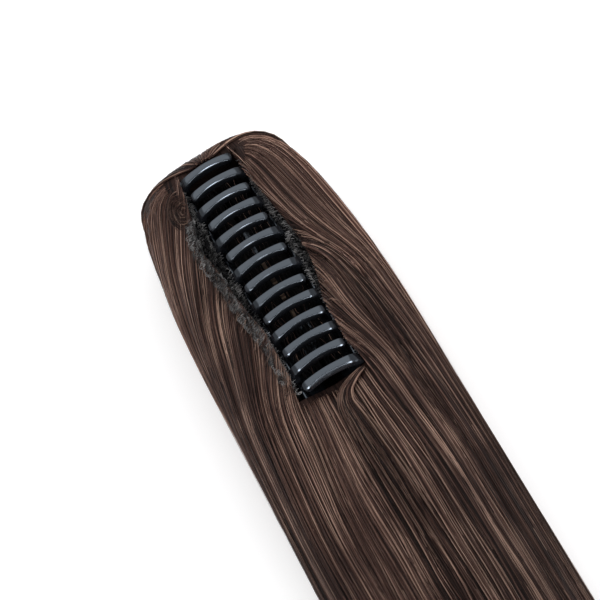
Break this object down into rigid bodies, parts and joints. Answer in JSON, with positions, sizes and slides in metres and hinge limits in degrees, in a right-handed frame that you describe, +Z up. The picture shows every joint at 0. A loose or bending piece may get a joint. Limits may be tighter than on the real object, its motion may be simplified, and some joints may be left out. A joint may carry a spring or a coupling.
{
  "type": "claw clip ponytail hairpiece",
  "caption": "Straight ponytail hairpiece with a toothed claw clip in its hollow head, jaws hinged on a sprung pin.",
  "frame": {"origin": "middle of the hairpiece's outline in plan, on the surface that it lies on", "axes": "+X across the clip to the side of the right jaw, +Y along the hair to the crown, +Z up out of the clip's teeth"},
  "size_m": [0.0932, 0.416, 0.053],
  "materials": {
    "black_plastic": "moulded, high gloss",
    "spring_steel": "drawn wire, bright",
    "weft_thread": "looped sewing thread and short hairs, matt",
    "brown_hair": "straight fibre, soft sheen"
  },
  "bodies": {
    "root": {"hinge_pin": "spring_steel", "torsion_spring": "spring_steel", "crown_hair": "brown_hair", "left_hair": "brown_hair", "right_hair": "brown_hair", "tail_hair": "brown_hair"},
    "left_claw": {"left_jaw": "black_plastic", "left_weft": "weft_thread"},
    "right_claw": {"right_jaw": "black_plastic", "right_weft": "weft_thread"}
  },
  "joints": [
    {"name": "right_jaw_hinge", "type": "hinge", "parent": "root", "child": "right_claw", "pos_m": [0.00246, 0.1385, 0.026], "axis": [0, 1, 0], "range_deg": [0, 34], "stiffness_Nm_per_rad": 0.15, "springref_deg": -22.92, "deforming": ["torsion_spring"]},
    {"name": "left_jaw_hinge", "type": "hinge", "parent": "root", "child": "left_claw", "pos_m": [0.00246, 0.1385, 0.026], "axis": [0, -1, 0], "range_deg": [0, 34], "stiffness_Nm_per_rad": 0.15, "springref_deg": -22.92, "deforming": ["torsion_spring"]}
  ],
  "couplings": [
    {"joint": "left_jaw_hinge", "follows": "right_jaw_hinge", "ratio": 1}
  ]
}
